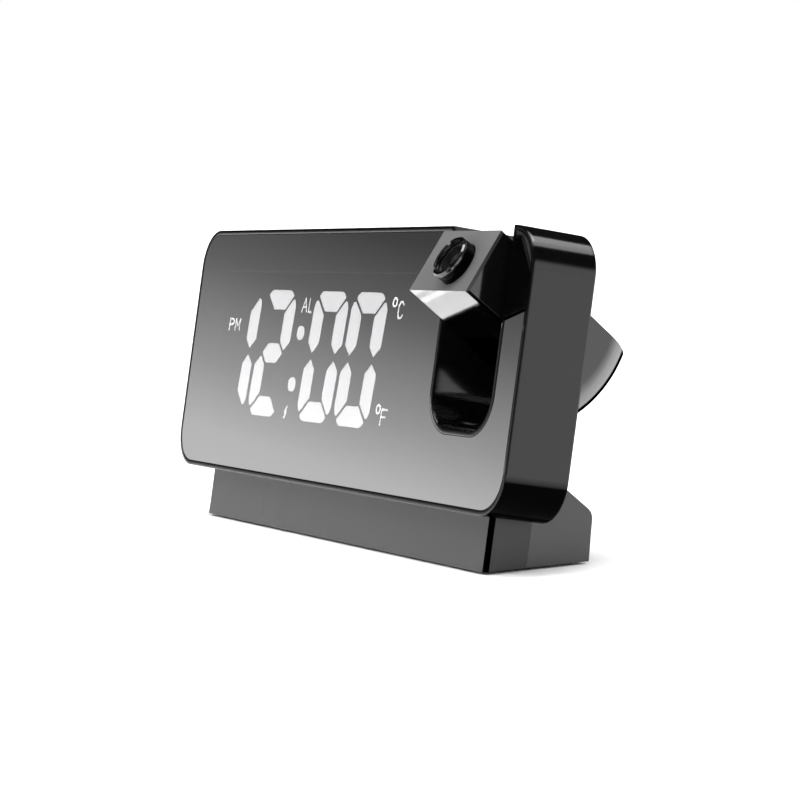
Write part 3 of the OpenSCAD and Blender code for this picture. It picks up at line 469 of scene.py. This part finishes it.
def screws(name, centres, axis, length):
    """Screws with the middle of the head at each centre. A point is centre + r cos(a) X +
    r sin(a) Y + z axis, and within the cross z falls by the recess * the larger arm's share."""
    recess, arm_half, arm_side, arm_reach, arm_slope = 0.65, 0.32, 0.08, 1.3, 0.3
    # The profile: flat rings that the cross is pressed into, the head's rounded rim and its
    # underside, then the shank and its tip
    flat, around = 24, 96
    r = np.concatenate((np.linspace(0.08, 1.85, flat), (2.05, 2.17, 2.2, 2.2, 1.1, 1.1, 0.7)))
    z = np.concatenate((np.zeros(flat), (-0.05, -0.16, -0.3, -1.0, -1.0, 0.3 - length, -length)))
    a = np.arange(around) * 2 * math.pi / around
    x, y = r[:, None] * np.cos(a), r[:, None] * np.sin(a)
    # How deep each of the two arms is: 1 inside, falling to 0 across its sides and its ends
    arms = [np.clip((arm_half - abs(v)) / arm_side, 0, 1)
            * np.clip((arm_reach - abs(w)) / arm_slope, 0, 1) for v, w in ((x, y), (y, x))]
    z = z[:, None] - recess * np.maximum(*arms) * (np.arange(len(r)) < flat)[:, None]
    across = np.array((1.0, 0, 0))
    up = np.cross(axis, across)
    shape = x[..., None] * across + y[..., None] * up + z[..., None] * axis
    points, faces = closed_rings(shape + centres[:, None, None], centres - recess * axis,
                                 centres - length * axis)
    made = piece(name, points * MM, faces, zinc_steel)
    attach(made, "clock")
    return made


out_back = np.array((0, math.cos(lean), -math.sin(lean)))
cover_depth = 16.1
cover_holes = np.array([on_body(x, cover_depth, u) / MM
                        for x in (-90.4, 50.6, 90.4) for u in (7.8, 58.2)])
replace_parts(screws("cover_cross_screws", cover_holes, out_back, length=8.9), "cover_screws")
out_below = np.array((0, 0, -1.0))
base_holes = np.array([(x, y, 0.7) for x in (-50.3, 50.3) for y in (-13.164, 4.348)])
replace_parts(screws("base_cross_screws", base_holes, out_below, length=6.0), "base_screws")


# Wedge base
# Two moulded halves in dark grey ABS, satin from a blasted mould, screwed to a black plate. The
# front half's shine is painted by the way its faces look: raised on its front face, lowered on its
# sides, and none on its corner roundings, whose base goes black, a painted shade that makes it darker
# than the rear half.
satin_base_front_painted_shade = moulded("satin_abs_base_front_painted_shade", "#2d2d2d", 0.3, grain=0.9, depth=0.006, edge=0.3,
                      spread=0.015, by=("Normal", (0, -1, 0)),
                      pairs=((0.02, 0.25), (0.07, 0), (0.95, 0), (0.99, 1.0)))
satin_grey = moulded("satin_dark_grey_abs_base", "#2c2c2c", 0.3, grain=0.9, depth=0.006, edge=0.3,
                     spread=0.015)
dress(satin_base_front_painted_shade, "base_front")
dress(satin_grey, "base_rear")
dress(grained_black, "base_plate")


# Feet
# Four oblong pads of black rubber, dull and slightly dusty. They are glued into recesses in the
# base plate and stand out 0.6 mm below it.
rubber = moulded("black_rubber", "#161616", 0.8, grain=0.35, depth=0.03, spread=0.1)
dress(rubber, "rubber_feet")


# Power inlet
# A low-voltage socket with a pin inside, moulded in black nylon. It stands on the base plate,
# and its nose looks out of the back of the base.
inlet_black = moulded("black_nylon_inlet", "#0d0d0d", 0.35, grain=0.6, depth=0.01, edge=0.15)
dress(inlet_black, "power_jack")


# Memory cell, contacts and door
# A stainless coin cell between two spring brass leaves in the base, and a round bayonet door
# with a coin slot that turns to come out.
dress(zinc_steel, "memory_cell")
brass, tree = material("spring_brass")
at = add(tree, "ShaderNodeTexCoord")
# Rolled brass, slightly tarnished: yellow, with darker patches 2 mm wide
tarnish = add(tree, "ShaderNodeTexNoise", inputs={"Scale": 1 / (2 * MM), "Detail": 2.0},
              links={"Vector": (at, "Object")})
tint = add(tree, "ShaderNodeValToRGB", links={"Fac": (tarnish, "Fac")})
stops(tint, (0.35, "#b89a55"), (0.65, "#cdb26c"))
rolled = add(tree, "ShaderNodeBsdfPrincipled", inputs={"Metallic": 1.0, "Roughness": 0.28},
             links={"Base Color": (tint, "Color")})
add(tree, "ShaderNodeOutputMaterial", links={"Surface": (rolled, "BSDF")})
dress(brass, "cell_contacts")
dress(grained_black, "battery_door")


# Projector arm
# A piano-black shell with a mirror plate glued on its front and a satin grey plate round the
# lens, both with black edges. Acetal pivots with spring clips carry it in the slot's walls.
def two_tone(made, way, rest):
    """Gives another base colour to the faces of a material that don't look along a direction."""
    tree = made.node_tree
    plastic = next(n for n in tree.nodes if n.type == "BSDF_PRINCIPLED")
    at = next(n for n in tree.nodes if n.type == "TEX_COORD")
    looks = add(tree, "ShaderNodeVectorMath", {"operation": "DOT_PRODUCT"}, {1: way},
                {0: (at, "Normal")})
    least_cosine = 0.9
    faced = add(tree, "ShaderNodeMath", {"operation": "GREATER_THAN"}, {1: least_cosine},
                {0: (looks, "Value")})
    base = plastic.inputs["Base Color"]
    tone = add(tree, "ShaderNodeMix", {"data_type": "RGBA"}, {
        "A": linear(rest), "B": base.default_value}, {"Factor": (faced, "Value")})
    if base.links:
        tree.links.new(base.links[0].from_socket, tone.inputs["B"])
    tree.links.new(tone.outputs["Result"], base)


optics_way = (0, -0.8049, 0.5934)  # out of the lens
mirror_way = (0, -0.659, -0.752)  # out of the mirror plate
edge_black = "#050505"
# Piano black again, with painted reflection by the angle of view: the shine is raised on faces at a
# middle angle to the eye and taken away on those seen nearly edge on, whose base goes black as
# painted shade
piano_black = moulded("piano_black_arm", "#060606", 0.09, grain=5, depth=0.003, edge=0.1,
                      by="View", pairs=((0.0, 0.6), (0.17, 0.6), (0.36, 1.8), (0.56, 1.8),
                                        (0.64, 0.0), (1.0, 0.0)))
dress(piano_black, "arm_shell")
# An aluminised acrylic plate: a clear but slightly grey mirror, a little duller in patches
plate_mirror, tree = material("arm_mirror_plate")
at = add(tree, "ShaderNodeTexCoord")
patches = add(tree, "ShaderNodeTexNoise", inputs={"Scale": 1 / (8 * MM), "Detail": 1.0},
              links={"Vector": (at, "Object")})
polish = add(tree, "ShaderNodeMapRange", inputs={
    "From Min": noise_low, "From Max": noise_high, "To Min": 0.05, "To Max": 0.08},
    links={"Value": (patches, "Fac")})
aluminised = add(tree, "ShaderNodeBsdfPrincipled", inputs={
    "Base Color": linear("#a9a9a9"), "Metallic": 1.0}, links={"Roughness": (polish, "Result")})
add(tree, "ShaderNodeOutputMaterial", links={"Surface": (aluminised, "BSDF")})
two_tone(plate_mirror, mirror_way, edge_black)
dress(plate_mirror, "arm_mirror_plate")
# Satin grey paint gives an even tone, and acetal a low, waxy shine
satin_paint = moulded("satin_grey_lens_plate", "#5b5b5b", 0.38, grain=0.4, depth=0.004)
two_tone(satin_paint, optics_way, edge_black)
dress(satin_paint, "arm_lens_plate")
acetal = moulded("black_acetal_pivot", "#141414", 0.4, grain=0.8, depth=0.01)
dress(acetal, "arm_pivot_left", "arm_pivot_right")


# Projector optics
# A notched focus ring moves the lens cell in a sleeve. Behind it are a condenser lens, a small
# image LCD and an LED on its board. The ring's shine is painted by its place along the lens axis:
# full on its front 0.7 mm, a painted light line, and almost none behind, where the barrel goes dark
# as painted shade.
ring_points = np.empty(3 * len(nodes["focus_ring"].data.vertices))
nodes["focus_ring"].data.vertices.foreach_get("co", ring_points)
ring_front = float((ring_points.reshape(-1, 3) @ optics_way).max())
# The painted highlight band: the shine rises from 1.0 mm to 0.7 mm behind the ring's front edge
painted_highlight_from, painted_highlight_to = ring_front - 1.0 * MM, ring_front - 0.7 * MM
ring_black = moulded("turned_black_focus_ring", "#040404", 0.14, grain=1.5, depth=0.002, edge=0.1,
                     by=("Object", optics_way), pairs=((painted_highlight_from, 0.03), (painted_highlight_to, 1.0)))
dress(ring_black, "focus_ring")
dress(block_black, "lens_sleeve")
dress(acetal, "lens_cell")
# Coated glass: clear, with a faint blue tint
coated_glass, tree = material("coated_lens_glass")
at = add(tree, "ShaderNodeTexCoord")
coat = add(tree, "ShaderNodeTexNoise", inputs={"Scale": 1 / (6 * MM)},
           links={"Vector": (at, "Object")})
haze = add(tree, "ShaderNodeMapRange", inputs={
    "From Min": noise_low, "From Max": noise_high, "To Min": 0.02, "To Max": 0.04},
    links={"Value": (coat, "Fac")})
clear = add(tree, "ShaderNodeBsdfPrincipled", inputs={
    "Base Color": linear("#eef2f6"), "Transmission Weight": 1.0, "IOR": 1.6}, links={
    "Roughness": (haze, "Result")})
add(tree, "ShaderNodeOutputMaterial", links={"Surface": (clear, "BSDF")})
dress(coated_glass, "projection_lens", "condenser_lens")
dress(smoked_acrylic, "image_lcd")
dress(glowing("led_phosphor", "#fff6dc", 1.0), "projector_led")
